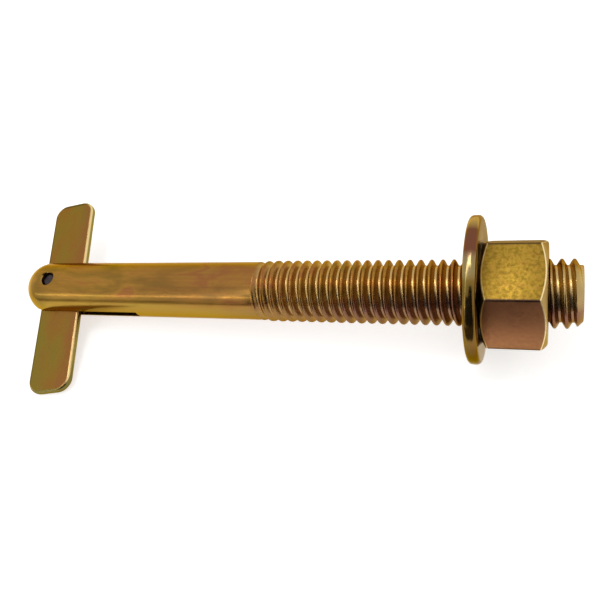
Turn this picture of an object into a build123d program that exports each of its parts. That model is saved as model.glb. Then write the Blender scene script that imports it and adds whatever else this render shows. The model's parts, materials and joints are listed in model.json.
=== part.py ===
"""Toggle-type screw anchor: a slotted stud with a pinned toggle bar, a flat washer and a hex nut.

The anchor lies on a table as it comes to rest: on the domed tip of the stud, on the rim of the
washer and on the end of the bar's long arm. The origin is on the table, below the middle of the
anchor. +X points along the stud towards the nut, +Y along the bar's short arm and +Z up. All
lengths are in millimetres and all angles in degrees.
"""

from build123d import *

import os
from math import acos, atan2, degrees, hypot, radians, sqrt, tan

# Stud, measured along its axis from the pivot pin
shank_diameter = 9.16
pin_to_tip = 6.1
pin_to_shoulder = 39.0
pin_to_end = 85.7
shoulder_length = 0.5
end_chamfer = 1.0

# Thread, 16 turns to the inch, as a row of V-grooves that get deeper over the run-out
crest_diameter = 9.5
thread_pitch = 25.4 / 16
thread_depth = 0.87
thread_flank_angle = 30
crest_flat = 0.2
first_groove = 40.3
run_out_turns = 4
groove_overcut = 0.1

# Slot through the tip for the bar
slot_clearance = 0.1
slot_reach = 17.9
slot_end_radius = 12.0
slot_overcut = 1

# Toggle bar
bar_thickness = 1.35
bar_width = 8.0
short_arm = 17.35
long_arm = 19.3
bar_corner_radius = 2.4
bar_edge_radius = 0.25
hole_offset = 0.45
bar_lean = 9.8
steepest_roll = 45
roll_tolerance = 0.001

# Pivot pin
pin_diameter = 2.3
pin_recess = 0.7
pin_end_chamfer = 0.25
pin_seat_clearance = 0.01
pin_running_clearance = 0.06

# Washer
washer_diameter = 20.9
washer_bore = 11.0
washer_thickness = 1.75
washer_rim_radius = 0.45
pin_to_washer = 70.95
bearing_gap = 0.04

# Nut
nut_across_flats = 14.29
nut_height = 8.55
nut_chamfer_angle = 30
nut_chamfer_share = 0.96
nut_thread_clearance = 0.05
nut_countersink = 0.6
nut_corner_angle = 30.6
nut_gap = 0.04

# Radii and places that follow from the sizes above
shank_radius = shank_diameter / 2
crest_radius = crest_diameter / 2
pin_radius = pin_diameter / 2
bar_hole_radius = pin_radius + pin_running_clearance
nut_edge = bar_width / 2 + hole_offset
tip_edge = bar_width / 2 - hole_offset
dome_centre = shank_radius - pin_to_tip
slot_width = bar_thickness + 2 * slot_clearance
washer_middle = pin_to_washer + washer_thickness / 2
nut_start = pin_to_washer + washer_thickness + nut_gap
washer_rise = (washer_bore - crest_diameter) / 2 - bearing_gap


def stud_pitch():
    """Angle of the stud's axis above the table, from the dome's and the washer's contact with it."""
    rim_reach = washer_diameter / 2 - washer_rim_radius - washer_rise
    rim_ahead = washer_middle - dome_centre - (washer_thickness / 2 - washer_rim_radius)
    height = shank_radius - washer_rim_radius
    return degrees(acos(height / hypot(rim_reach, rim_ahead)) - atan2(rim_ahead, rim_reach))


def bar_directions(roll):
    """Directions up the pin, along the short arm and across the bar, for a roll about the stud."""
    up = above.rotate(Axis((0, 0, 0), along), roll)
    across = along.rotate(Axis((0, 0, 0), up), bar_lean)
    return up, up.cross(across), across


def bar_reach(direction, directions, arm, edge):
    """Reach from the pivot of the bar's rounded corner at the end of an arm and at one edge."""
    up, lengthwise, across = (abs(axis.dot(direction)) for axis in directions)
    middle = (arm - bar_corner_radius) * lengthwise + (edge - bar_corner_radius) * across
    corner = (bar_corner_radius - bar_edge_radius) * hypot(lengthwise, across)
    return middle + corner + (bar_thickness / 2 - bar_edge_radius) * up + bar_edge_radius


def stud_roll():
    """Angle about the stud at which the end of the long arm meets the table."""
    level, steep = 0, steepest_roll
    while steep - level > roll_tolerance:
        roll = (level + steep) / 2
        down = bar_reach(Vector(0, 0, -1), bar_directions(roll), long_arm, tip_edge)
        level, steep = (roll, steep) if down < pivot_height else (level, roll)
    return level


pitch = stud_pitch()

# Directions at rest along the stud and square to it, and the pivot's height above the table
along = Vector(1, 0, 0).rotate(Axis.Y, -pitch)
above = Vector(0, 0, 1).rotate(Axis.Y, -pitch)
pivot_height = shank_radius - dome_centre * along.Z
roll = stud_roll()
bar_axes = bar_directions(roll)
pin_up, along_bar, across_bar = bar_axes

# The pivot's place, with the origin below the middle of the anchor
tip_x = min(
    dome_centre * along.X - shank_radius,
    -bar_reach(Vector(-1, 0, 0), bar_axes, short_arm, tip_edge),
)
end_x = pin_to_end * along.X - (crest_radius - end_chamfer) * above.X
short_arm_y = bar_reach(Vector(0, 1, 0), bar_axes, short_arm, nut_edge)
long_arm_y = -bar_reach(Vector(0, -1, 0), bar_axes, long_arm, tip_edge)
pivot = Vector(-(tip_x + end_x) / 2, -(short_arm_y + long_arm_y) / 2, pivot_height)

stud_axis = Axis(pivot, along)
pin_axis = Axis(pivot, pin_up)
section = Plane(origin=pivot, x_dir=-pin_up, z_dir=along)
slot_plane = Plane(origin=pivot, x_dir=along, z_dir=pin_up)
bar_plane = Plane(origin=pivot, x_dir=across_bar, z_dir=pin_up)
washer_centre = pivot + above * washer_rise
washer_plane = Plane(origin=washer_centre, x_dir=-pin_up, z_dir=along).offset(pin_to_washer)

flank_slope = tan(radians(thread_flank_angle))
groove_mouth = (thread_pitch - crest_flat) / 2
groove_floor = groove_mouth - thread_depth * flank_slope
thread_turns = int((pin_to_end - end_chamfer - first_groove) / thread_pitch) + 1

with BuildPart() as threaded_stud:
    with BuildSketch(slot_plane):
        with BuildLine():
            dome = CenterArc((dome_centre, 0), shank_radius, 90, 90)
            Polyline(
                dome @ 0,
                (pin_to_shoulder, shank_radius),
                (pin_to_shoulder + shoulder_length, crest_radius),
                (pin_to_end - end_chamfer, crest_radius),
                (pin_to_end, crest_radius - end_chamfer),
                (pin_to_end, 0),
                dome @ 1,
            )
        make_face()
    revolve(axis=stud_axis)
    # Slot for the bar, open at the tip and at both sides
    slot_side = shank_radius + slot_overcut
    slot_mouth = -pin_to_tip - slot_overcut
    slot_end_centre = slot_reach - slot_end_radius
    slot_corner = slot_end_centre + sqrt(slot_end_radius**2 - slot_side**2)
    with BuildSketch(slot_plane):
        with BuildLine():
            slot_end = ThreePointArc(
                (slot_corner, slot_side), (slot_reach, 0), (slot_corner, -slot_side)
            )
            Polyline(
                slot_end @ 1,
                (slot_mouth, -slot_side),
                (slot_mouth, slot_side),
                slot_end @ 0,
            )
        make_face()
    extrude(amount=slot_width / 2, both=True, mode=Mode.SUBTRACT)
    # Cross hole that holds the pin
    with BuildSketch(slot_plane):
        Circle(pin_radius + pin_seat_clearance)
    extrude(amount=shank_diameter, both=True, mode=Mode.SUBTRACT)
    # Thread grooves, with the depth of the first ones growing to the full depth
    with BuildSketch(slot_plane):
        for turn in range(thread_turns):
            depth = thread_depth * min(1, (turn + 1) / (run_out_turns + 1))
            mouth = groove_floor + (depth + groove_overcut) * flank_slope
            with Locations((first_groove + turn * thread_pitch, crest_radius)):
                Polygon(
                    (-groove_floor, -depth),
                    (groove_floor, -depth),
                    (mouth, groove_overcut),
                    (-mouth, groove_overcut),
                    align=None,
                )
    revolve(axis=stud_axis, mode=Mode.SUBTRACT)
threaded_stud.part.label = "threaded_stud"

with BuildPart() as toggle_bar:
    with BuildSketch(bar_plane.offset(-bar_thickness / 2)):
        with Locations((hole_offset, (short_arm - long_arm) / 2)):
            RectangleRounded(bar_width, short_arm + long_arm, bar_corner_radius)
    extrude(amount=bar_thickness)
    levels = toggle_bar.edges().group_by(pin_axis)
    fillet(levels[0] + levels[-1], bar_edge_radius)
    with BuildSketch(bar_plane):
        Circle(bar_hole_radius)
    extrude(amount=bar_thickness, both=True, mode=Mode.SUBTRACT)
toggle_bar.part.label = "toggle_bar"

with BuildPart() as pivot_pin:
    with BuildSketch(slot_plane):
        Circle(pin_radius)
    extrude(amount=shank_radius - pin_recess, both=True)
    chamfer(pivot_pin.edges().filter_by(GeomType.CIRCLE), pin_end_chamfer)
pivot_pin.part.label = "pivot_pin"

with BuildPart() as flat_washer:
    with BuildSketch(washer_plane):
        Circle(washer_diameter / 2)
    extrude(amount=washer_thickness)
    fillet(flat_washer.edges().filter_by(GeomType.CIRCLE), washer_rim_radius)
    with BuildSketch(washer_plane):
        Circle(washer_bore / 2)
    extrude(amount=washer_thickness, mode=Mode.SUBTRACT)
flat_washer.part.label = "flat_washer"

with BuildPart() as hex_nut:
    with BuildSketch(section.offset(nut_start)):
        RegularPolygon(nut_across_flats / 2, 6, major_radius=False, rotation=nut_corner_angle)
    extrude(amount=nut_height)
    # Both faces are turned to a cone that cuts the corners off
    corner_radius = nut_across_flats / sqrt(3)
    face_radius = nut_across_flats / 2 * nut_chamfer_share
    corner_drop = (corner_radius - face_radius) * tan(radians(nut_chamfer_angle))
    with BuildSketch(slot_plane):
        with BuildLine():
            Polyline(
                (nut_start, 0),
                (nut_start, face_radius),
                (nut_start + corner_drop, corner_radius),
                (nut_start + nut_height - corner_drop, corner_radius),
                (nut_start + nut_height, face_radius),
                (nut_start + nut_height, 0),
                close=True,
            )
        make_face()
    revolve(axis=stud_axis, mode=Mode.INTERSECT)
    with BuildSketch(section.offset(nut_start)):
        Circle(crest_radius + nut_thread_clearance)
    extrude(amount=nut_height, mode=Mode.SUBTRACT)
    mouths = hex_nut.edges().filter_by(GeomType.CIRCLE).sort_by(SortBy.RADIUS)[:2]
    chamfer(mouths, nut_countersink)
hex_nut.part.label = "hex_nut"

os.makedirs("parts", exist_ok=True)
for piece in (threaded_stud, toggle_bar, pivot_pin, flat_washer, hex_nut):
    export_step(piece.part, f"parts/{piece.part.label}.step")

print(f"stud pitched {pitch:.2f} and rolled {roll:.2f} degrees")
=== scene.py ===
import json
import logging
import math
from abc import ABC, abstractmethod
from dataclasses import dataclass
from enum import Enum
from typing import Any, Callable, ClassVar, Sequence

import bmesh
import bpy
from mathutils import Matrix, Vector


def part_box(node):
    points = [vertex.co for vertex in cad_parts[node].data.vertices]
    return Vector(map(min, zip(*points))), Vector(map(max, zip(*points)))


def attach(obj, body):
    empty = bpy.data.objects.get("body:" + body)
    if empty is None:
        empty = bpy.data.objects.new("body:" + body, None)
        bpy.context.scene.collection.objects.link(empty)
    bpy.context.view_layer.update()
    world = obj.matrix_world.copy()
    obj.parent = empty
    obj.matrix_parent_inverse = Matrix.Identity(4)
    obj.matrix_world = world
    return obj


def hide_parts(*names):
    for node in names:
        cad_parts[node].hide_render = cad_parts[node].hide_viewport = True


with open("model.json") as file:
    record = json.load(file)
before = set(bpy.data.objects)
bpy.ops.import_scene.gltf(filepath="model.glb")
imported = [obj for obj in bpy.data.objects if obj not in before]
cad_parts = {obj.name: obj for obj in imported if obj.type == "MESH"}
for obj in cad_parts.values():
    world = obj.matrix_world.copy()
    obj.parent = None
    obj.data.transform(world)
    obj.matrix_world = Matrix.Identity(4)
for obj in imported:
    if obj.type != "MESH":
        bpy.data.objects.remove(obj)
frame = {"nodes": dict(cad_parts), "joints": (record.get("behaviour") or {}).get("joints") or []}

log = logging.getLogger("screw anchor")

Point = tuple[float, float, float]

MM = 0.001
"""Metres in a millimetre: the pieces are modelled in millimetres on the anchor's own axes."""

MERGE_MM = 0.0005
"""Points closer than this are made one."""
SLIVER_MM = 0.0002
"""Edges of the stud's shell shorter than this are taken out."""
LEVEL_MM = 0.01
"""An edge lies flat when its ends differ by less than this in z."""
NEAR_MM = 0.1
"""A point lies on a circle when it is nearer to it than this."""
CONE_INSIDE_MM, CONE_OUTSIDE_MM = 0.4, 1.2
"""How far inside a bore's wall its mouth's cone starts, and how far outside the wall it ends."""

FACES_Z = 0.9
"""A face looks along z when its normal has more than this along it."""
SQUARE_ANGLE = math.radians(60)
"""Faces that meet at more than this meet in a square edge."""

COLOUR_A, COLOUR_B, COLOUR_OUT = 6, 7, 2
"""Numbers of a Mix node's sockets for colours, because their names stand for its other sockets too."""

SRGB_KNEE, SRGB_SLOPE, SRGB_OFFSET, SRGB_POWER = 0.04045, 12.92, 0.055, 2.4
"""The sRGB curve: a straight line up to its knee, and a power beyond it."""


def linear(colour: str) -> tuple[float, float, float, float]:
    """Turns an sRGB colour into a linear one.

    Args:
        colour: Six hex digits, such as "b08a3c".

    Returns:
        Red, green, blue and alpha.
    """
    parts = [int(colour[i:i + 2], 16) / 255 for i in (0, 2, 4)]
    turned = [c / SRGB_SLOPE if c <= SRGB_KNEE else
              ((c + SRGB_OFFSET) / (1 + SRGB_OFFSET)) ** SRGB_POWER for c in parts]
    return turned[0], turned[1], turned[2], 1.0


def smooth_step(value: float) -> float:
    """Eases a value from 0 to 1, and holds it there outside that range."""
    value = min(1.0, max(0.0, value))
    return value * value * (3 - 2 * value)


@dataclass(frozen=True)
class AnchorAxes:
    """The anchor's own axes at rest: x along the stud, y across it in the slot, z up the pivot pin.

    The origin is the middle of the pivot pin, and lengths on these axes are in millimetres.
    """

    pivot: Vector
    along: Vector
    pin_up: Vector

    @classmethod
    def from_joints(cls, joints: list[dict[str, Any]]) -> "AnchorAxes":
        """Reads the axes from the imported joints.

        Args:
            joints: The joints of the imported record.

        Returns:
            The axes, taken from the toggle's hinge and the washer's slide.
        """
        named = {joint["name"]: joint for joint in joints}
        swing, slide = named["toggle_swing"], named["washer_slide"]
        return cls(Vector(swing["pos_m"]), Vector(slide["axis"]).normalized(),
                   -Vector(swing["axis"]).normalized())

    @property
    def turn(self) -> Matrix:
        """Rotation from the anchor's axes to the row frame."""
        return Matrix((self.along, self.pin_up.cross(self.along), self.pin_up)).transposed()

    @property
    def to_row(self) -> Matrix:
        """Transform from millimetres on the anchor's axes to metres in the row frame."""
        return Matrix.Translation(self.pivot) @ self.turn.to_4x4() @ Matrix.Scale(MM, 4)

    def centre_of(self, node: str) -> Vector:
        """Middle of a CAD node's box, in millimetres on the anchor's axes."""
        low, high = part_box(node)
        return self.to_row.inverted() @ ((Vector(low) + Vector(high)) / 2)


AXES = AnchorAxes.from_joints(frame["joints"])
ALONG_X = Matrix.Rotation(math.pi / 2, 4, "Y")
"""Lays a piece that was turned about its own z along the stud."""
UPSIDE_DOWN = Matrix.Rotation(math.pi, 4, "X")
"""Turns a tool over, for the other mouth of a bore."""


def start_clean() -> None:
    """Deselects everything, so that an operator acts only on what is added next."""
    bpy.ops.object.select_all(action="DESELECT")


def added(name: str) -> bpy.types.Object:
    """Names the object that an operator has just added, and puts its place in its mesh.

    Args:
        name: The object's name.

    Returns:
        The object, at the origin, unturned and unscaled.
    """
    made = bpy.context.active_object
    made.name = made.data.name = name
    made.data.transform(made.matrix_world)
    made.matrix_world = Matrix.Identity(4)
    return made


def work_on(piece: bpy.types.Object) -> None:
    """Makes a piece the only selected and the active object.

    Args:
        piece: The piece.
    """
    start_clean()
    piece.select_set(True)
    bpy.context.view_layer.objects.active = piece


def pick(piece: bpy.types.Object, kind: str, test: Callable[[Any], bool]) -> None:
    """Selects the faces or edges of the piece in edit mode that pass a test, and nothing else.

    Args:
        piece: The piece in edit mode.
        kind: "faces" or "edges".
        test: Says of a face or an edge whether it is wanted.
    """
    bpy.context.tool_settings.mesh_select_mode = (False, kind == "edges", kind == "faces")
    bpy.ops.mesh.select_all(action="DESELECT")
    mesh = bmesh.from_edit_mesh(piece.data)
    for item in getattr(mesh, kind):
        item.select_set(test(item))
    bmesh.update_edit_mesh(piece.data)


def bevel_edges(piece: bpy.types.Object, test: Callable[[Any], bool], width: float,
                segments: int) -> None:
    """Rounds the edges of the piece in edit mode that pass a test."""
    pick(piece, "edges", test)
    bpy.ops.mesh.bevel(offset=width, segments=segments, affect="EDGES")


def rise(edge: Any) -> float:
    """How far an edge's two ends are apart in z."""
    return abs(edge.verts[0].co.z - edge.verts[1].co.z)


def apply_modifiers(piece: bpy.types.Object) -> None:
    """Applies a piece's modifiers in order.

    Args:
        piece: The piece.
    """
    work_on(piece)
    for modifier in list(piece.modifiers):
        bpy.ops.object.modifier_apply(modifier=modifier.name)


def combine(piece: bpy.types.Object, tool: bpy.types.Object, operation: str = "DIFFERENCE") -> None:
    """Cuts a piece with a tool, or keeps what they share, and removes the tool.

    Args:
        piece: The piece that is cut.
        tool: A closed shape.
        operation: "DIFFERENCE" or "INTERSECT".
    """
    cut = piece.modifiers.new("cut", "BOOLEAN")
    cut.operation, cut.solver, cut.object = operation, "EXACT", tool
    apply_modifiers(piece)
    bpy.data.objects.remove(tool)


def block(name: str, middle: Sequence[float], size: Sequence[float]) -> bpy.types.Object:
    """Adds a block.

    Args:
        name: Its name.
        middle: Its middle.
        size: Its three sizes.

    Returns:
        The block.
    """
    start_clean()
    bpy.ops.mesh.primitive_cube_add(size=1, location=middle, scale=size)
    return added(name)


def drum(name: str, radius: float, length: float, corners: int) -> bpy.types.Object:
    """Adds a round bar about z, centred on the origin.

    Args:
        name: Its name.
        radius: Its radius.
        length: Its length.
        corners: The number of its flat sides.

    Returns:
        The bar.
    """
    start_clean()
    bpy.ops.mesh.primitive_cylinder_add(vertices=corners, radius=radius, depth=length)
    return added(name)


def open_mouths(piece: bpy.types.Object, bore: float, mouth: float, face: float, corners: int) -> None:
    """Cuts a cone of 45 degrees into both mouths of a bore about z.

    Args:
        piece: The bored piece, centred on the origin.
        bore: Radius of the bore.
        mouth: Radius of the cone level with the face.
        face: Height of the face above the origin.
        corners: The number of the cone's flat sides.
    """
    # The cone starts inside the bore and ends clear of the face
    narrow, wide = bore - CONE_INSIDE_MM, bore + CONE_OUTSIDE_MM
    for side in ("lower", "upper"):
        start_clean()
        bpy.ops.mesh.primitive_cone_add(
            vertices=corners, radius1=narrow, radius2=wide, depth=wide - narrow,
            location=(0, 0, face + (wide + narrow) / 2 - mouth))
        cone = added("mouth")
        if side == "lower":
            cone.data.transform(UPSIDE_DOWN)
        combine(piece, cone)


def mend(piece: bpy.types.Object, slivers: bool = False) -> None:
    """Closes a piece's seams and points its faces outwards.

    Args:
        piece: A piece in millimetres.
        slivers: Whether its slivers are taken out too.
    """
    work_on(piece)
    bpy.ops.object.mode_set(mode="EDIT")
    bpy.ops.mesh.select_all(action="SELECT")
    bpy.ops.mesh.remove_doubles(threshold=MERGE_MM)
    if slivers:
        bpy.ops.mesh.dissolve_degenerate(threshold=SLIVER_MM)
    bpy.ops.mesh.normals_make_consistent(inside=False)
    bpy.ops.object.mode_set(mode="OBJECT")


def seat(piece: bpy.types.Object, angle: float) -> bpy.types.Object:
    """Closes a piece's seams, shades it and seats it in the row frame.

    Args:
        piece: A piece in millimetres on the anchor's axes.
        angle: Edges sharper than this many degrees stay crisp.

    Returns:
        The same piece, in metres.
    """
    mend(piece)
    bpy.ops.object.shade_smooth_by_angle(angle=math.radians(angle))
    piece.data.transform(AXES.to_row)
    return piece


def add_node(tree: bpy.types.NodeTree, kind: str, settings: dict[str, Any] | None = None,
             inputs: dict[Any, Any] | None = None) -> bpy.types.Node:
    """Adds a node with its settings and its inputs.

    Args:
        tree: The node tree.
        kind: The node's type.
        settings: Attributes of the node.
        inputs: Values of its sockets, by name or number. A socket given as a value is linked.

    Returns:
        The node.
    """
    made = tree.nodes.new(kind)
    for key, value in (settings or {}).items():
        setattr(made, key, value)
    for key, value in (inputs or {}).items():
        if isinstance(value, bpy.types.NodeSocket):
            tree.links.new(value, made.inputs[key])
        else:
            made.inputs[key].default_value = value
    return made


def set_stops(ramp: bpy.types.Node, stops: Sequence[tuple[float, str]]) -> None:
    """Gives a colour ramp its stops.

    Args:
        ramp: The Color Ramp node.
        stops: The stops' places, 0 to 1, and their sRGB hex colours.
    """
    elements = ramp.color_ramp.elements
    # A new stop gets its own place below, wherever it is added
    while len(elements) < len(stops):
        elements.new(stops[-1][0])
    for element, (place, colour) in zip(elements, stops):
        element.position, element.color = place, linear(colour)


def from_axis(tree: bpy.types.NodeTree, own: bpy.types.NodeSocket) -> bpy.types.NodeSocket:
    """Adds the nodes that measure how far a place is from the stud's axis.

    Args:
        tree: The material's node tree.
        own: The place, in millimetres on the anchor's axes.

    Returns:
        The socket with the distance.
    """
    square = add_node(tree, "ShaderNodeVectorMath", {"operation": "MULTIPLY"}, {0: own, 1: (0, 1, 1)})
    radius = add_node(tree, "ShaderNodeVectorMath", {"operation": "LENGTH"}, {0: square.outputs[0]})
    return radius.outputs["Value"]


def background_rays(tree: bpy.types.NodeTree) -> bpy.types.NodeSocket:
    """Adds the nodes that tell whether the camera, metal or glass sees a background.

    Args:
        tree: The node tree of the background's material, or of the world.

    Returns:
        The socket, 1 for a ray of the camera, of a reflection or through glass, and 0 for others.
    """
    rays = add_node(tree, "ShaderNodeLightPath").outputs
    seen = rays["Is Camera Ray"]
    for kind in ("Is Glossy Ray", "Is Transmission Ray"):
        seen = add_node(tree, "ShaderNodeMath", {"operation": "MAXIMUM"}, {
            0: seen, 1: rays[kind]}).outputs[0]
    return seen


@dataclass(frozen=True)
class Shift:
    """Part of a piece of another tone, where the film is thicker or thinner or where light or shade is
    painted.

    A place has a level: the sum of its distances from a middle along the three axes, times the
    weights, of its way in a direction, and of its distance from the stud's axis, times radial.
    Lengths are in millimetres on the anchor's axes.

    Attributes:
        tone: The sRGB hex colour there.
        start: The level at which the tone begins.
        full: The level at which it has its full share.
        most: Its full share, 0 to 1.
    """

    tone: str
    start: float
    full: float
    most: float
    middle: Sequence[float] = (0, 0, 0)
    weights: Sequence[float] = (0, 0, 0)
    towards: Sequence[float] = (0, 0, 0)
    radial: float = 0.0

    def share(self, tree: bpy.types.NodeTree, own: bpy.types.NodeSocket) -> bpy.types.NodeSocket:
        """Adds the nodes that give the tone's share at a place.

        Args:
            tree: The material's node tree.
            own: The place, in millimetres on the anchor's axes.

        Returns:
            The socket with the share, 0 to the shift's most.
        """
        apart = add_node(tree, "ShaderNodeVectorMath", {"operation": "SUBTRACT"}, {
            0: own, 1: self.middle})
        size = add_node(tree, "ShaderNodeVectorMath", {"operation": "ABSOLUTE"}, {0: apart.outputs[0]})
        weighed = add_node(tree, "ShaderNodeVectorMath", {"operation": "DOT_PRODUCT"}, {
            0: size.outputs[0], 1: self.weights})
        ahead = add_node(tree, "ShaderNodeVectorMath", {"operation": "DOT_PRODUCT"}, {
            0: own, 1: self.towards})
        around = add_node(tree, "ShaderNodeMath", {"operation": "MULTIPLY_ADD"}, {
            0: from_axis(tree, own), 1: self.radial, 2: weighed.outputs["Value"]})
        level = add_node(tree, "ShaderNodeMath", {"operation": "ADD"}, {
            0: around.outputs[0], 1: ahead.outputs["Value"]})
        share = add_node(tree, "ShaderNodeMapRange", None, {
            "Value": level.outputs[0], "From Min": self.start, "From Max": self.full,
            "To Min": 0.0, "To Max": self.most})
        return share.outputs[0]


@dataclass(frozen=True)
class YellowZinc:
    """Yellow-passivated zinc plating on steel, satin.

    The chromate film is a fraction of a micron thick and uneven, so the gold drifts to olive, rose
    and brown over a few millimetres, and streaks run the way the steel was drawn or rolled.

    Attributes:
        tones: The film's colours, as places on its noise and sRGB hex colours.
        patch_mm: Size of a patch of one colour along the anchor's axes.
        streak_mm: Size of a streak along them.
        grain_mm: Size of the satin grain, with its stretch along the axes.
        roughness: The least and the most roughness.
        hollow_painted_light: Paler colour between the two hollow radii, down in the thread: painted light
            against the grooves' shade.
        satin_start: Where on the stud the finish gets duller by satin_extra.
        grazing_tone: Colour of the metal seen edge on.
        shifts: Parts of the piece of another tone, each over those before it.
    """

    name: str
    tones: tuple[tuple[float, str], ...]
    patch_mm: Sequence[float] = (9, 3, 3)
    streak_mm: Sequence[float] = (16, 0.5, 0.5)
    streak_tone: str = "8a5a2c"
    streak_range: tuple[float, float] = (0.45, 0.75)
    streak_share: float = 0.35
    grain_mm: float = 0.3
    grain_height_mm: float = 0.01
    grain_stretch: Sequence[float] = (1, 1, 1)
    grain_range: tuple[float, float] = (0.3, 0.7)
    roughness: tuple[float, float] = (0.24, 0.38)
    hollow_painted_light: str | None = None
    hollow_radii: tuple[float, float] = (3.9, 4.6)
    hollow_share: float = 0.85
    satin_start: float | None = None
    satin_run: float = 0.5
    satin_extra: float = 0.09
    grazing_tone: str = "ead2a4"
    shifts: tuple[Shift, ...] = ()

    def film(self, tree: bpy.types.NodeTree, own: bpy.types.NodeSocket) -> bpy.types.NodeSocket:
        """Adds the nodes of the film's colour.

        Args:
            tree: The material's node tree.
            own: The place, in millimetres on the anchor's axes.

        Returns:
            The socket with the colour.
        """
        # Slow drift from one colour to the next
        patch_place = add_node(tree, "ShaderNodeMapping", {"vector_type": "POINT"}, {
            "Vector": own, "Scale": [1 / size for size in self.patch_mm]})
        patches = add_node(tree, "ShaderNodeTexNoise", None, {
            "Vector": patch_place.outputs[0], "Scale": 1.0, "Detail": 3.0, "Roughness": 0.55,
            "Distortion": 0.4})
        drift = add_node(tree, "ShaderNodeValToRGB", None, {"Fac": patches.outputs["Fac"]})
        set_stops(drift, self.tones)
        # Fine streaks along the steel
        streak_place = add_node(tree, "ShaderNodeMapping", {"vector_type": "POINT"}, {
            "Vector": own, "Scale": [1 / size for size in self.streak_mm]})
        streaks = add_node(tree, "ShaderNodeTexNoise", None, {
            "Vector": streak_place.outputs[0], "Scale": 1.0, "Detail": 2.0, "Roughness": 0.6})
        streak_share = add_node(tree, "ShaderNodeMapRange", None, {
            "Value": streaks.outputs["Fac"], "From Min": self.streak_range[0],
            "From Max": self.streak_range[1], "To Min": 0.0, "To Max": self.streak_share})
        layers = [(streak_share.outputs[0], self.streak_tone)]
        if self.hollow_painted_light:
            # Painted light down in the thread: grooves mirror themselves and look darker, so a paler tone
            # lightens them
            hollow = add_node(tree, "ShaderNodeMapRange", None, {
                "Value": from_axis(tree, own), "From Min": self.hollow_radii[0],
                "From Max": self.hollow_radii[1], "To Min": self.hollow_share, "To Max": 0.0})
            layers.append((hollow.outputs[0], self.hollow_painted_light))
        layers += [(shift.share(tree, own), shift.tone) for shift in self.shifts]
        colour = drift.outputs["Color"]
        for share, tone in layers:
            colour = add_node(tree, "ShaderNodeMix", {"data_type": "RGBA"}, {
                "Factor": share, COLOUR_A: colour, COLOUR_B: linear(tone)}).outputs[COLOUR_OUT]
        return colour

    def material(self) -> bpy.types.Material:
        """Builds the plating's nodes.

        Returns:
            The material.
        """
        made = bpy.data.materials.new(self.name)
        made.use_nodes = True
        tree = made.node_tree
        shader = tree.nodes["Principled BSDF"]
        place = add_node(tree, "ShaderNodeTexCoord")
        # Object coordinates turned to millimetres on the anchor's axes
        own = add_node(tree, "ShaderNodeMapping", {"vector_type": "TEXTURE"}, {
            "Vector": place.outputs["Object"], "Location": AXES.pivot,
            "Rotation": AXES.turn.to_euler(), "Scale": (MM, MM, MM)}).outputs[0]
        # Satin grain of the plated steel, drawn coarser than it is so that the render shows it
        grain_place = add_node(tree, "ShaderNodeMapping", {"vector_type": "POINT"}, {
            "Vector": own, "Scale": [1 / (self.grain_mm * size) for size in self.grain_stretch]})
        grain = add_node(tree, "ShaderNodeTexNoise", None, {
            "Vector": grain_place.outputs[0], "Scale": 1.0, "Detail": 2.0, "Roughness": 0.6})
        rough = add_node(tree, "ShaderNodeMapRange", None, {
            "Value": grain.outputs["Fac"], "From Min": self.grain_range[0],
            "From Max": self.grain_range[1], "To Min": self.roughness[0],
            "To Max": self.roughness[1]})
        if self.satin_start is not None:
            # The rolled thread is duller than the drawn shank
            ahead = add_node(tree, "ShaderNodeSeparateXYZ", None, {0: own})
            extra = add_node(tree, "ShaderNodeMapRange", None, {
                "Value": ahead.outputs["X"], "From Min": self.satin_start,
                "From Max": self.satin_start + self.satin_run, "To Min": 0.0,
                "To Max": self.satin_extra})
            rough = add_node(tree, "ShaderNodeMath", {"operation": "ADD"}, {
                0: rough.outputs[0], 1: extra.outputs[0]})
        relief = add_node(tree, "ShaderNodeBump", None, {
            "Height": grain.outputs["Fac"], "Distance": self.grain_height_mm * MM, "Strength": 1.0})
        for socket, value in (("Base Color", self.film(tree, own)), ("Roughness", rough.outputs[0]),
                              ("Normal", relief.outputs[0])):
            tree.links.new(value, shader.inputs[socket])
        shader.inputs["Metallic"].default_value = 1.0
        shader.inputs["Specular Tint"].default_value = linear(self.grazing_tone)
        return made


BAR_SIDE = Vector((0.985, 0.170, 0))
"""Across the leaning bar, towards the nut."""
BAR_SHORT_END = Vector((-0.170, 0.985, 0))
"""Along the bar's short arm."""
NUT_MIDDLE = (77.015, 0, 0)
CONE_SLOPE = 0.577
"""With this share of the radius, a place's level is the same all over the cones of the nut's faces."""


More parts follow.
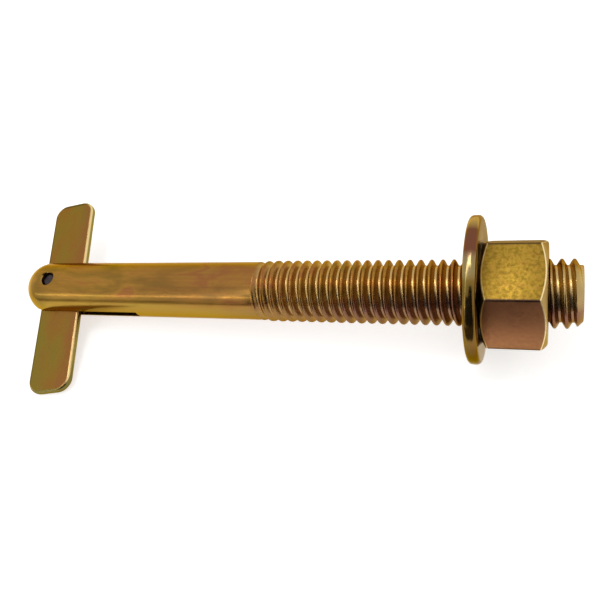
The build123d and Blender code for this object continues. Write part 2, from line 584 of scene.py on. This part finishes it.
class Plating(Enum):
    """The plated finishes, one for each way the steel was made."""

    # Drawn bar: the smoothest, with soft streaks along the shank that drift from gold to rose and olive. The
    # rolled thread is satin, with painted light to pale its grooves and painted shade in brown on its lower
    # side.
    DRAWN_STUD = YellowZinc(
        "yellow_zinc_on_drawn_and_rolled_stud",
        ((0.3, "7c602a"), (0.4, "8e6a2c"), (0.5, "a07432"), (0.6, "966034"), (0.7, "a07636"),
         (0.78, "84622e")),
        streak_mm=(14, 0.45, 0.45), streak_share=0.5, roughness=(0.15, 0.25), hollow_painted_light="c2a266",
        grain_height_mm=0.002, grain_stretch=(8, 1, 1), satin_start=38.6, shifts=(
            # Rose along the shank before the thread
            Shift("7c5034", start=-18, full=-4, most=0.3, middle=(30, 0, 0), weights=(-1, 0, 0)),
            # Painted reflection: lighter gold along the side in front of the slot
            Shift("a88a3a", start=2.7, full=3.6, most=0.7, towards=(-0.03, -0.99, 0.13)),
            # Painted shade: brown on the lower side of the thread
            Shift("765650", start=3.6, full=5.0, most=0.75, radial=-0.6, towards=(0.06, -0.97, 0.22)),
            # Painted shade: a dark line along the thread
            Shift("4a3420", start=-0.25, full=-0.05, most=0.35, middle=(56, 0, 0),
                  weights=(-0.005, 0, 0), radial=-1.0, towards=(0, -0.42, 0.907)),
            # Painted highlight: pale gold along the top towards the cut end
            Shift("c4ac70", start=-1.6, full=-0.6, most=0.6, middle=(84, 0, 0),
                  weights=(-0.3, 0, 0), radial=-1.0, towards=(0, -0.25, 0.968)),
            # Painted shade: brown on the tip beside the pin
            Shift("7c5e2c", start=-4.0, full=-1.5, most=0.6, middle=(-1.5, -2.9, 3.5),
                  weights=(-1, -1, -1))))
    # Flat bar, sheared: even and satin on its faces, with long soft patches from end to end, a painted
    # highlight on its rounded edges and painted shade on some of them.
    FLAT_BAR = YellowZinc(
        "yellow_zinc_on_sheared_flat_bar",
        ((0.3, "7d6c2e"), (0.45, "866a2c"), (0.58, "8a642c"), (0.72, "8a6032")),
        patch_mm=(4, 7, 4), streak_mm=(0.8, 18, 0.8), streak_share=0.2, grain_height_mm=0.003,
        grain_stretch=(1, 6, 1), shifts=(
            # Rose towards the nut and olive towards the tip
            Shift("8a5234", start=1.8, full=3.7, most=0.5, towards=BAR_SIDE),
            Shift("7a7430", start=2.0, full=4.5, most=0.5, towards=(-0.960, -0.318, 0)),
            # Painted highlight in cream on the rounded edges, and olive on the sheared sides between them
            Shift("e8cc90", start=-0.66, full=-0.57, most=1.0, weights=(0, 0, -1)),
            Shift("84763c", start=-0.42, full=-0.25, most=1.0, weights=(0, 0, -1)),
            # Painted shade: olive round the end of the long arm, over the edges' painted highlight
            Shift("6e6430", start=13.5, full=13.8, most=0.9, weights=(0, 0, -8),
                  towards=-BAR_SHORT_END),
            # Painted shade: dark rims at the end of the short arm and along the edge towards the tip
            Shift("4e4622", start=16.55, full=16.85, most=0.8, towards=BAR_SHORT_END),
            Shift("4e4622", start=2.95, full=3.2, most=0.8, towards=-BAR_SIDE)))
    # Punched washer: smooth, and on its rolled rim bands of painted light and shade run from rose-brown
    # through pale gold to dark olive.
    PUNCHED_WASHER = YellowZinc(
        "yellow_zinc_on_punched_washer",
        ((0.3, "845c2c"), (0.45, "8c6830"), (0.6, "807034"), (0.75, "785e2c")),
        patch_mm=(3, 6, 6), streak_mm=(1.0, 5, 5), streak_share=0.2, grain_height_mm=0.002,
        roughness=(0.12, 0.2), shifts=(
            # The rim's bands of painted light and shade, from its top round to its low side
            Shift("6c3e34", start=9.95, full=10.35, most=0.85, towards=(0, 0.384, 0.923)),
            Shift("b89c60", start=-0.5, full=-0.1, most=0.7, radial=-1.0, towards=(0, 0.669, 0.743)),
            Shift("5a4a24", start=-1.0, full=-0.5, most=0.55, radial=-1.0,
                  towards=(0, -0.616, 0.788)),
            # Painted highlight, pale, near the top of the rim
            Shift("9b8863", start=-0.2, full=-0.04, most=0.6, radial=-1.0,
                  towards=(0, -0.092, 0.996)),
            # Painted shade, dark, on the rim's low side
            Shift("443022", start=7.6, full=10.3, most=0.85, towards=(0, -0.99, -0.14)),
            # Painted shade: grey-gold on the face under the nut
            Shift("7a6a44", start=72.6, full=72.68, most=0.9, towards=(1, 0, 0))))
    # Forged nut: the roughest, finely mottled, with a painted highlight along the edges of its flats and
    # painted shade on its lower front flat and corners.
    FORGED_NUT = YellowZinc(
        "yellow_zinc_on_forged_nut",
        ((0.3, "6e581e"), (0.45, "7e6422"), (0.56, "92742a"), (0.75, "7e5c2c")),
        patch_mm=(0.55, 0.55, 0.55), streak_mm=(3, 0.8, 0.8), streak_share=0.25, grain_mm=0.5,
        grain_height_mm=0.014, roughness=(0.3, 0.42), shifts=(
            # One flat is copper: painted shade for the lower front flat, in a copper tone
            Shift("aa7250", start=7.0, full=7.12, most=0.85, towards=(0, -0.866, 0.5)),
            # Painted shade: dark corners, dimming the highlight on the rounded edges between the flats
            Shift("4a3a2c", start=8.1, full=8.19, most=0.9, radial=1.0),
            # Painted highlight in cream where the flats meet the turned cones, and gold on the cones
            Shift("f2d8a0", start=8.05, full=8.14, most=1.0, middle=NUT_MIDDLE, weights=(1, 0, 0),
                  radial=CONE_SLOPE),
            Shift("9c7e46", start=8.212, full=8.228, most=0.9, middle=NUT_MIDDLE, weights=(1, 0, 0),
                  radial=CONE_SLOPE)))
    # Pin, staked: down in its hole, painted shade makes it a dark dull grey.
    STAKED_PIN = YellowZinc(
        "yellow_zinc_on_staked_pin",
        ((0.3, "2c2a32"), (0.5, "3c3840"), (0.7, "4a4646")),
        patch_mm=(1.2, 1.2, 1.2), streak_mm=(1, 1, 1), streak_share=0.1)


@dataclass
class PlatedPiece(ABC):
    """Plated piece that stands for a CAD node and moves with its body."""

    plating: ClassVar[Plating]
    node: ClassVar[str]
    body: ClassVar[str]
    slot: ClassVar[str]

    @abstractmethod
    def build(self) -> bpy.types.Object:
        """Models the piece in the row frame."""

    def dress(self, made: bpy.types.Object) -> None:
        """Gives the piece its finish and its body, and hides its CAD node.

        Args:
            made: The piece that build gave.
        """
        made.data.materials.clear()
        made.data.materials.append(self.plating.value.material())
        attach(made, self.body)
        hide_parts(self.node)


@dataclass
class ThreadedStud(PlatedPiece):
    """Stud with a domed, slotted tip, a cross hole, a plain shank and a rolled right-hand thread.

    Attributes:
        crest_place: A crest of the thread at crest_angle, as the photograph shows it.
        crest_half: Half the crest's width, in turns.
        flank_width: Width of a flank, in turns.
        flank_power: How round the flank is near the crest, for flank_mix of its form.
        groove_rise: Length over which the first groove starts.
        crest_rise: Length over which the crest rises from the shank.
        run_out: Length over which the grooves get their full depth, from run_out_start of it.
        rows: Places of the thread's rows of points within one pitch, closer on the crest.
        slot_block: Start and end of the block that opens the slot at the tip.
        hole_mouth_radius: Radius of the cross hole's softened mouths on the top of the shank.
    """

    plating = Plating.DRAWN_STUD
    node = "threaded_stud"
    body = "stud"
    slot = "plated_stud"

    shank_radius: float = 4.58
    tip: float = -6.1
    shoulder: float = 38.6
    end: float = 85.7
    end_chamfer: float = 1.0
    crest_radius: float = 4.75
    pitch: float = 25.4 / 16
    depth: float = 0.87
    crest_place: float = 62.287
    crest_angle: float = 116.77
    crest_half: float = 0.05
    flank_width: float = 0.37
    flank_power: float = 1.4
    flank_mix: float = 0.6
    groove_rise: float = 0.5
    crest_rise: float = 2.5
    run_out: float = 6.5
    run_out_start: float = 0.55
    columns: int = 128
    dome_rings: int = 16
    shank_rings: int = 24
    rows: tuple[float, ...] = (0, 0.045, 0.09, 0.16, 0.24, 0.32, 0.41, 0.5, 0.59, 0.68, 0.76, 0.84,
                               0.91, 0.955)
    slot_width: float = 1.55
    slot_reach: float = 17.9
    slot_end_radius: float = 12.0
    slot_end_corners: int = 256
    slot_block: tuple[float, float] = (-13.0, -1.0)
    hole_radius: float = 1.16
    hole_mouth_radius: float = 1.435
    hole_corners: int = 48
    crisp_angle: float = 40.0

    def radius(self, place: float, angle: float) -> float:
        """Radius of the threaded length.

        Args:
            place: Distance along the stud from the pin.
            angle: Angle about the stud, from down the pin towards the slot's y, in turns.

        Returns:
            The radius there.
        """
        turns = (place - self.crest_place) / self.pitch - (angle - self.crest_angle / 360)
        off_crest = abs(turns - round(turns))
        flank = min(1.0, max(0.0, (off_crest - self.crest_half) / self.flank_width))
        form = self.flank_mix * flank ** self.flank_power + (1 - self.flank_mix) * smooth_step(flank)
        beyond = place - self.shoulder
        share = self.run_out_start + (1 - self.run_out_start) * min(1.0, beyond / self.run_out)
        crest = self.shank_radius + (self.crest_radius - self.shank_radius) * smooth_step(
            beyond / self.crest_rise)
        shape = crest - self.depth * form * share * smooth_step(beyond / self.groove_rise)
        return min(shape, self.crest_radius - max(0.0, place - (self.end - self.end_chamfer)))

    def rings(self) -> list[tuple[float, float]]:
        """Lists the rings of the dome and the shank.

        Returns:
            The rings' places along the stud and their radii.
        """
        dome = self.tip + self.shank_radius
        steps = [math.pi / 2 * (i + 1) / self.dome_rings for i in range(self.dome_rings)]
        listed = [(dome - self.shank_radius * math.cos(step), self.shank_radius * math.sin(step))
                  for step in steps]
        listed += [(dome + (self.shoulder - dome) * i / self.shank_rings, self.shank_radius)
                   for i in range(1, self.shank_rings + 1)]
        return listed

    def column(self, angle: float) -> list[Point]:
        """Lists the points of the stud at one angle, from the dome to the end.

        Args:
            angle: Angle about the stud, from down the pin towards the slot's y, in turns.

        Returns:
            The points.
        """
        first = self.crest_place - self.pitch * math.ceil(
            (self.crest_place - self.shoulder) / self.pitch + 1)
        turns = math.ceil((self.end - first) / self.pitch) + 1
        line = self.rings()
        for turn in range(turns + 1):
            for row in self.rows:
                place = first + self.pitch * (turn + row + angle - self.crest_angle / 360)
                place = min(self.end, max(self.shoulder, place))
                line.append((place, self.radius(place, angle)))
        across, down = math.sin(2 * math.pi * angle), math.cos(2 * math.pi * angle)
        return [(place, radius * across, -radius * down) for place, radius in line]

    def shell(self) -> bpy.types.Object:
        """Lays rings over the dome and the shank and one helical strip over the thread.

        The thread's depth and crests change along the helix, and the helix starts on a round shank
        and ends in a flat end. Spin and screw can't give that, so its points come from a formula.

        Returns:
            The closed stud before its slot and hole are cut.
        """
        lines = [self.column(i / self.columns) for i in range(self.columns)]
        length, last_ring = len(lines[0]), len(self.rings()) - 1
        points = [(self.tip, 0.0, 0.0)] + [point for line in lines for point in line]
        points.append((self.end, 0.0, 0.0))

        def at(column: int, row: int) -> int:
            """Number of the point in a column's row."""
            return 1 + column % self.columns * length + min(row, length - 1)

        faces = []
        for column in range(self.columns):
            faces.append((0, at(column + 1, 0), at(column, 0)))
            for row in range(length - 1):
                # The strip's first row lies on the last ring, and a turn takes it one pitch on
                if row == last_ring:
                    continue
                wrapped = row > last_ring and column == self.columns - 1
                far = row + len(self.rows) if wrapped else row
                faces.append((at(column, row), at(column + 1, far), at(column + 1, far + 1),
                              at(column, row + 1)))
            faces.append((len(points) - 1, at(column, length - 1), at(column + 1, length - 1)))
        mesh = bpy.data.meshes.new("stud")
        mesh.from_pydata(points, [], faces)
        mesh.update()
        made = bpy.data.objects.new("stud", mesh)
        bpy.context.scene.collection.objects.link(made)
        mend(made, slivers=True)
        return made

    def build(self) -> bpy.types.Object:
        """Cuts the slot and the cross hole into the shell.

        Returns:
            The stud.
        """
        made = self.shell()
        slot_end = drum("slot_end", self.slot_end_radius, self.slot_width, self.slot_end_corners)
        slot_end.data.transform(Matrix.Translation((self.slot_reach - self.slot_end_radius, 0, 0)))
        combine(made, slot_end)
        start, stop = self.slot_block
        combine(made, block("slot_mouth", ((start + stop) / 2, 0, 0),
                            (stop - start, 2 * self.slot_end_radius, self.slot_width)))
        combine(made, drum("hole", self.hole_radius, 3 * self.shank_radius, self.hole_corners))
        open_mouths(made, self.hole_radius, self.hole_mouth_radius, self.shank_radius,
                    self.hole_corners)
        made.name = made.data.name = "plated_threaded_stud"
        return seat(made, self.crisp_angle)


@dataclass
class ToggleBar(PlatedPiece):
    """Flat toggle bar with rounded corners and softened edges, pinned off its middle."""

    plating = Plating.FLAT_BAR
    node = "toggle_bar"
    body = "toggle"
    slot = "plated_bar"

    width: float = 8.0
    short_arm: float = 17.35
    long_arm: float = 19.3
    thickness: float = 1.35
    corner_radius: float = 2.4
    corner_segments: int = 12
    edge_radius: float = 0.5
    edge_segments: int = 4
    hole_offset: float = 0.45
    hole_radius: float = 1.21
    hole_corners: int = 48
    lean: float = 9.8
    crisp_angle: float = 30.0

    def build(self) -> bpy.types.Object:
        """Rounds a flat blank's corners and edges, bores it and leans it.

        Returns:
            The bar.
        """
        made = block("plated_toggle_bar", (self.hole_offset, (self.short_arm - self.long_arm) / 2, 0),
                     (self.width, self.short_arm + self.long_arm, self.thickness))
        bpy.ops.object.mode_set(mode="EDIT")
        bevel_edges(made, lambda edge: rise(edge) > self.thickness / 2, self.corner_radius,
                    self.corner_segments)
        bevel_edges(made, lambda edge: edge.calc_face_angle() > SQUARE_ANGLE, self.edge_radius,
                    self.edge_segments)
        bpy.ops.object.mode_set(mode="OBJECT")
        combine(made, drum("hole", self.hole_radius, 3 * self.thickness, self.hole_corners))
        made.data.transform(Matrix.Rotation(math.radians(self.lean), 4, "Z"))
        return seat(made, self.crisp_angle)


@dataclass
class FlatWasher(PlatedPiece):
    """Round washer, punched, with a rolled rim."""

    plating = Plating.PUNCHED_WASHER
    node = "flat_washer"
    body = "washer"
    slot = "plated_washer"

    radius: float = 10.45
    bore_radius: float = 5.5
    thickness: float = 1.75
    rim_radius: float = 0.62
    rim_segments: int = 6
    bore_edge: float = 0.12
    bore_segments: int = 2
    corners: int = 160
    crisp_angle: float = 30.0

    def build(self) -> bpy.types.Object:
        """Opens a disc's middle, closes the bore and rounds the edges.

        Returns:
            The washer.
        """
        made = drum("plated_flat_washer", self.radius, self.thickness, self.corners)
        bpy.ops.object.mode_set(mode="EDIT")
        pick(made, "faces", lambda face: abs(face.normal.z) > FACES_Z)
        bpy.ops.mesh.inset(thickness=self.radius - self.bore_radius, use_even_offset=False,
                           use_individual=True)
        bpy.ops.mesh.delete(type="FACE")
        pick(made, "edges", lambda edge: edge.is_boundary)
        bpy.ops.mesh.bridge_edge_loops()

        def on_circle(edge: Any, radius: float) -> bool:
            """Whether an edge lies flat on a circle about the middle."""
            return rise(edge) < LEVEL_MM and all(
                abs(vert.co.xy.length - radius) < NEAR_MM for vert in edge.verts)

        bevel_edges(made, lambda edge: on_circle(edge, self.radius), self.rim_radius,
                    self.rim_segments)
        bevel_edges(made, lambda edge: on_circle(edge, self.bore_radius), self.bore_edge,
                    self.bore_segments)
        bpy.ops.object.mode_set(mode="OBJECT")
        made.data.transform(Matrix.Translation(AXES.centre_of("flat_washer")) @ ALONG_X)
        return seat(made, self.crisp_angle)


@dataclass
class HexNut(PlatedPiece):
    """Hex nut, forged, with both faces turned to a cone and a countersunk bore.

    Attributes:
        start: Place of the nut's first face along the stud.
        chamfer_share: Radius of the flat face, as a share of half the width across flats.
        blank_gap: How much wider the turned blank is than the corners, and blank_rise how much
            longer than the nut, so that no two of their faces coincide.
    """

    plating = Plating.FORGED_NUT
    node = "hex_nut"
    body = "nut"
    slot = "plated_nut"

    across_flats: float = 14.29
    height: float = 8.55
    start: float = 72.74
    chamfer_share: float = 0.96
    chamfer_angle: float = 30.0
    edge_radius: float = 0.25
    edge_segments: int = 3
    edge_angle: float = 15.0
    bore_radius: float = 4.8
    mouth_radius: float = 5.1
    bore_corners: int = 96
    bore_overcut: float = 2.0
    blank_corners: int = 192
    blank_gap: float = 0.02
    blank_rise: float = 0.001
    corner_turn: float = 0.6
    crisp_angle: float = 25.0

    def build(self) -> bpy.types.Object:
        """Cuts a hexagonal blank's corners with a turned one, then rounds and bores it.

        Returns:
            The nut.
        """
        corner = self.across_flats / math.sqrt(3)
        face = self.across_flats / 2 * self.chamfer_share
        drop = (corner - face) * math.tan(math.radians(self.chamfer_angle))
        made = drum("plated_hex_nut", corner, self.height, corners=6)
        made.data.transform(Matrix.Rotation(math.radians(self.corner_turn), 4, "Z"))
        blank = drum("turned_blank", corner + self.blank_gap, self.height - 2 * drop,
                     self.blank_corners)
        bpy.ops.object.mode_set(mode="EDIT")
        for side in (-1, 1):
            pick(blank, "faces", lambda item: item.normal.z * side > FACES_Z)
            bpy.ops.mesh.extrude_region_move(
                TRANSFORM_OT_translate={"value": (0, 0, side * (drop + self.blank_rise))})
            bpy.ops.transform.resize(value=(face / corner, face / corner, 1), center_override=(0, 0, 0))
        bpy.ops.object.mode_set(mode="OBJECT")
        combine(made, blank, "INTERSECT")
        soft = made.modifiers.new("soft_edges", "BEVEL")
        soft.width, soft.segments, soft.limit_method = self.edge_radius, self.edge_segments, "ANGLE"
        soft.angle_limit = math.radians(self.edge_angle)
        apply_modifiers(made)
        combine(made, drum("bore", self.bore_radius, self.height + self.bore_overcut,
                           self.bore_corners))
        open_mouths(made, self.bore_radius, self.mouth_radius, self.height / 2, self.bore_corners)
        made.data.transform(Matrix.Translation((self.start + self.height / 2, 0, 0)) @ ALONG_X)
        return seat(made, self.crisp_angle)


@dataclass
class StakedPin:
    """Pivot pin, whose CAD node has the right shape and only gets a finish."""

    node: str = "pivot_pin"

    def dress(self) -> None:
        """Gives the pin's CAD node its finish."""
        pin = frame["nodes"][self.node]
        pin.data.materials.clear()
        pin.data.materials.append(Plating.STAKED_PIN.value.material())


def matt(name: str, shade: str) -> bpy.types.Material:
    """Makes a matt material for the studio.

    Args:
        name: Its name.
        shade: Its sRGB hex colour.

    Returns:
        The material.
    """
    made = bpy.data.materials.new(name)
    made.use_nodes = True
    shader = made.node_tree.nodes["Principled BSDF"]
    for socket, value in (("Base Color", linear(shade)), ("Roughness", 0.9), ("Specular IOR Level", 0.0)):
        shader.inputs[socket].default_value = value
    return made


@dataclass(frozen=True)
class StripLamp:
    """Soft strip lamp between two points, in metres in the row frame, that faces the origin."""

    name: str
    start: Point
    end: Point
    width: float
    watts: float

    def hang(self) -> None:
        """Adds the lamp."""
        first, last = Vector(self.start), Vector(self.end)
        data = bpy.data.lights.new(self.name, "AREA")
        data.shape, data.energy = "RECTANGLE", self.watts
        data.size, data.size_y = (last - first).length, self.width
        made = bpy.data.objects.new(self.name, data)
        bpy.context.scene.collection.objects.link(made)
        right = (last - first).normalized()
        middle = (first + last) / 2
        across = middle.cross(right).normalized()
        turn = Matrix((right, across, right.cross(across))).transposed()
        made.matrix_world = Matrix.Translation(middle) @ turn.to_4x4()


@dataclass(frozen=True)
class FeltCard:
    """Card between two corners, in metres in the row frame, which only the metal mirrors."""

    name: str
    low: Point
    high: Point
    shade: str

    def stand(self) -> None:
        """Adds the card, unseen by the camera and casting no shadow."""
        low, high = Vector(self.low), Vector(self.high)
        made = block(self.name, (low + high) / 2, high - low)
        # Felt gives the metal a soft, even tone to mirror, with no shine of its own
        made.data.materials.append(matt(f"{self.name}_felt", self.shade))
        made.visible_camera = made.visible_shadow = made.visible_diffuse = False


@dataclass
class Studio:
    """Pale table, soft lamps, felt cards and the camera.

    Attributes:
        camera_place: The camera's place, in millimetres on the anchor's axes.
        sight: The way it looks, on the same axes.
        image_up: The photograph's upward direction, on them too.
        table_lift: What the table gives off towards the camera and in reflections, so that it
            shows white.
        world_strength: The world's light on the anchor, and its strength where it is seen.
    """

    camera_place: Point = (82.336, -40.276, 90.371)
    sight: Point = (-0.3517719, 0.3692319, -0.8601886)
    image_up: Point = (-0.0135640, 0.9168136, 0.3990849)
    focal_px: float = 683.008
    image_px: float = 600.0
    sensor_mm: float = 36.0
    nearest: float = 0.005
    farthest: float = 20.0
    table_size: float = 1.6
    table_shade: str = "f4f4f4"
    table_lift: float = 0.62
    world_strength: tuple[float, float] = (0.55, 1.0)
    lamps: tuple[StripLamp, ...] = (
        StripLamp("overhead_strip", start=(0.008, 0.12, 0.40), end=(-0.58, -0.96, 0.40), width=0.045,
                  watts=0.6),
        StripLamp("overhead_box", start=(-0.055, 0.05, 0.40), end=(0.0, 0.05, 0.40), width=0.1,
                  watts=0.08),
        StripLamp("end_box", start=(0.01, 0.005, 0.40), end=(0.055, 0.005, 0.40), width=0.04,
                  watts=0.03),
        StripLamp("front_strip", start=(-0.70, -0.38, 0.172), end=(-0.17, -0.38, 0.172), width=0.02,
                  watts=0.12))
    cards: tuple[FeltCard, ...] = (
        FeltCard("front_card", low=(-0.125, -0.302, 0.0), high=(-0.03, -0.30, 0.29), shade="525a78"),
        FeltCard("front_card_right", low=(-0.03, -0.302, 0.0), high=(0.40, -0.30, 0.50), shade="484e6c"),
        FeltCard("front_card_left", low=(-0.45, -0.302, 0.0), high=(-0.185, -0.30, 0.03), shade="a0948a"),
        FeltCard("table_card", low=(-0.01, -0.30, 0.0002), high=(0.40, -0.032, 0.0004), shade="787070"),
        FeltCard("table_card_left", low=(-0.40, -0.30, 0.0002), high=(-0.02, -0.05, 0.0004), shade="c4baa8"),
        FeltCard("table_card_back", low=(0.02, 0.013, 0.0002), high=(0.06, 0.06, 0.0004), shade="fde8b4"))

    def camera(self) -> None:
        """Puts the camera where the photograph was taken from."""
        data = bpy.data.cameras.new("camera")
        data.sensor_width = self.sensor_mm
        data.lens = self.focal_px / self.image_px * self.sensor_mm
        data.clip_start, data.clip_end = self.nearest, self.farthest
        made = bpy.data.objects.new("camera", data)
        bpy.context.scene.collection.objects.link(made)
        back = -(AXES.turn @ Vector(self.sight)).normalized()
        right = (AXES.turn @ Vector(self.image_up)).cross(back).normalized()
        turn = Matrix((right, back.cross(right), back)).transposed()
        made.matrix_world = Matrix.Translation(AXES.to_row @ Vector(self.camera_place)) @ turn.to_4x4()
        bpy.context.scene.camera = made

    def table(self) -> None:
        """Lays the pale table under the anchor."""
        start_clean()
        bpy.ops.mesh.primitive_plane_add(size=self.table_size)
        made = added("table")
        # Paper shows as plain white, with only a light shadow under the anchor
        paper = matt("matt_white_paper", self.table_shade)
        tree = paper.node_tree
        lift = add_node(tree, "ShaderNodeMath", {"operation": "MULTIPLY"}, {
            0: background_rays(tree), 1: self.table_lift})
        shader = tree.nodes["Principled BSDF"]
        shader.inputs["Emission Color"].default_value = (1, 1, 1, 1)
        tree.links.new(lift.outputs[0], shader.inputs["Emission Strength"])
        made.data.materials.append(paper)

    def world(self) -> None:
        """Surrounds the set with soft white, which the camera and the metal see at full strength."""
        made = bpy.data.worlds.new("soft_white")
        bpy.context.scene.world = made
        made.use_nodes = True
        tree = made.node_tree
        strength = add_node(tree, "ShaderNodeMapRange", None, {
            "Value": background_rays(tree), "To Min": self.world_strength[0],
            "To Max": self.world_strength[1]})
        ground = tree.nodes["Background"]
        ground.inputs["Color"].default_value = (1, 1, 1, 1)
        tree.links.new(strength.outputs[0], ground.inputs["Strength"])

    def build(self) -> None:
        """Sets up the whole studio."""
        bpy.context.scene.view_settings.view_transform = "Standard"
        self.world()
        self.table()
        for lamp in self.lamps:
            lamp.hang()
        for card in self.cards:
            card.stand()
        self.camera()


def main() -> None:
    """Builds and dresses the pieces in order, and sets up the studio."""
    logging.basicConfig(level=logging.INFO, format="%(name)s: %(message)s")
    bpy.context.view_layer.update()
    for piece in (ThreadedStud(), ToggleBar(), FlatWasher(), HexNut()):
        made = piece.build()
        piece.dress(made)
        log.info("%s: %d faces", made.name, len(made.data.polygons))
    pin = StakedPin()
    pin.dress()
    log.info("%s: dressed", pin.node)
    Studio().build()


if __name__ == "__main__":
    main()
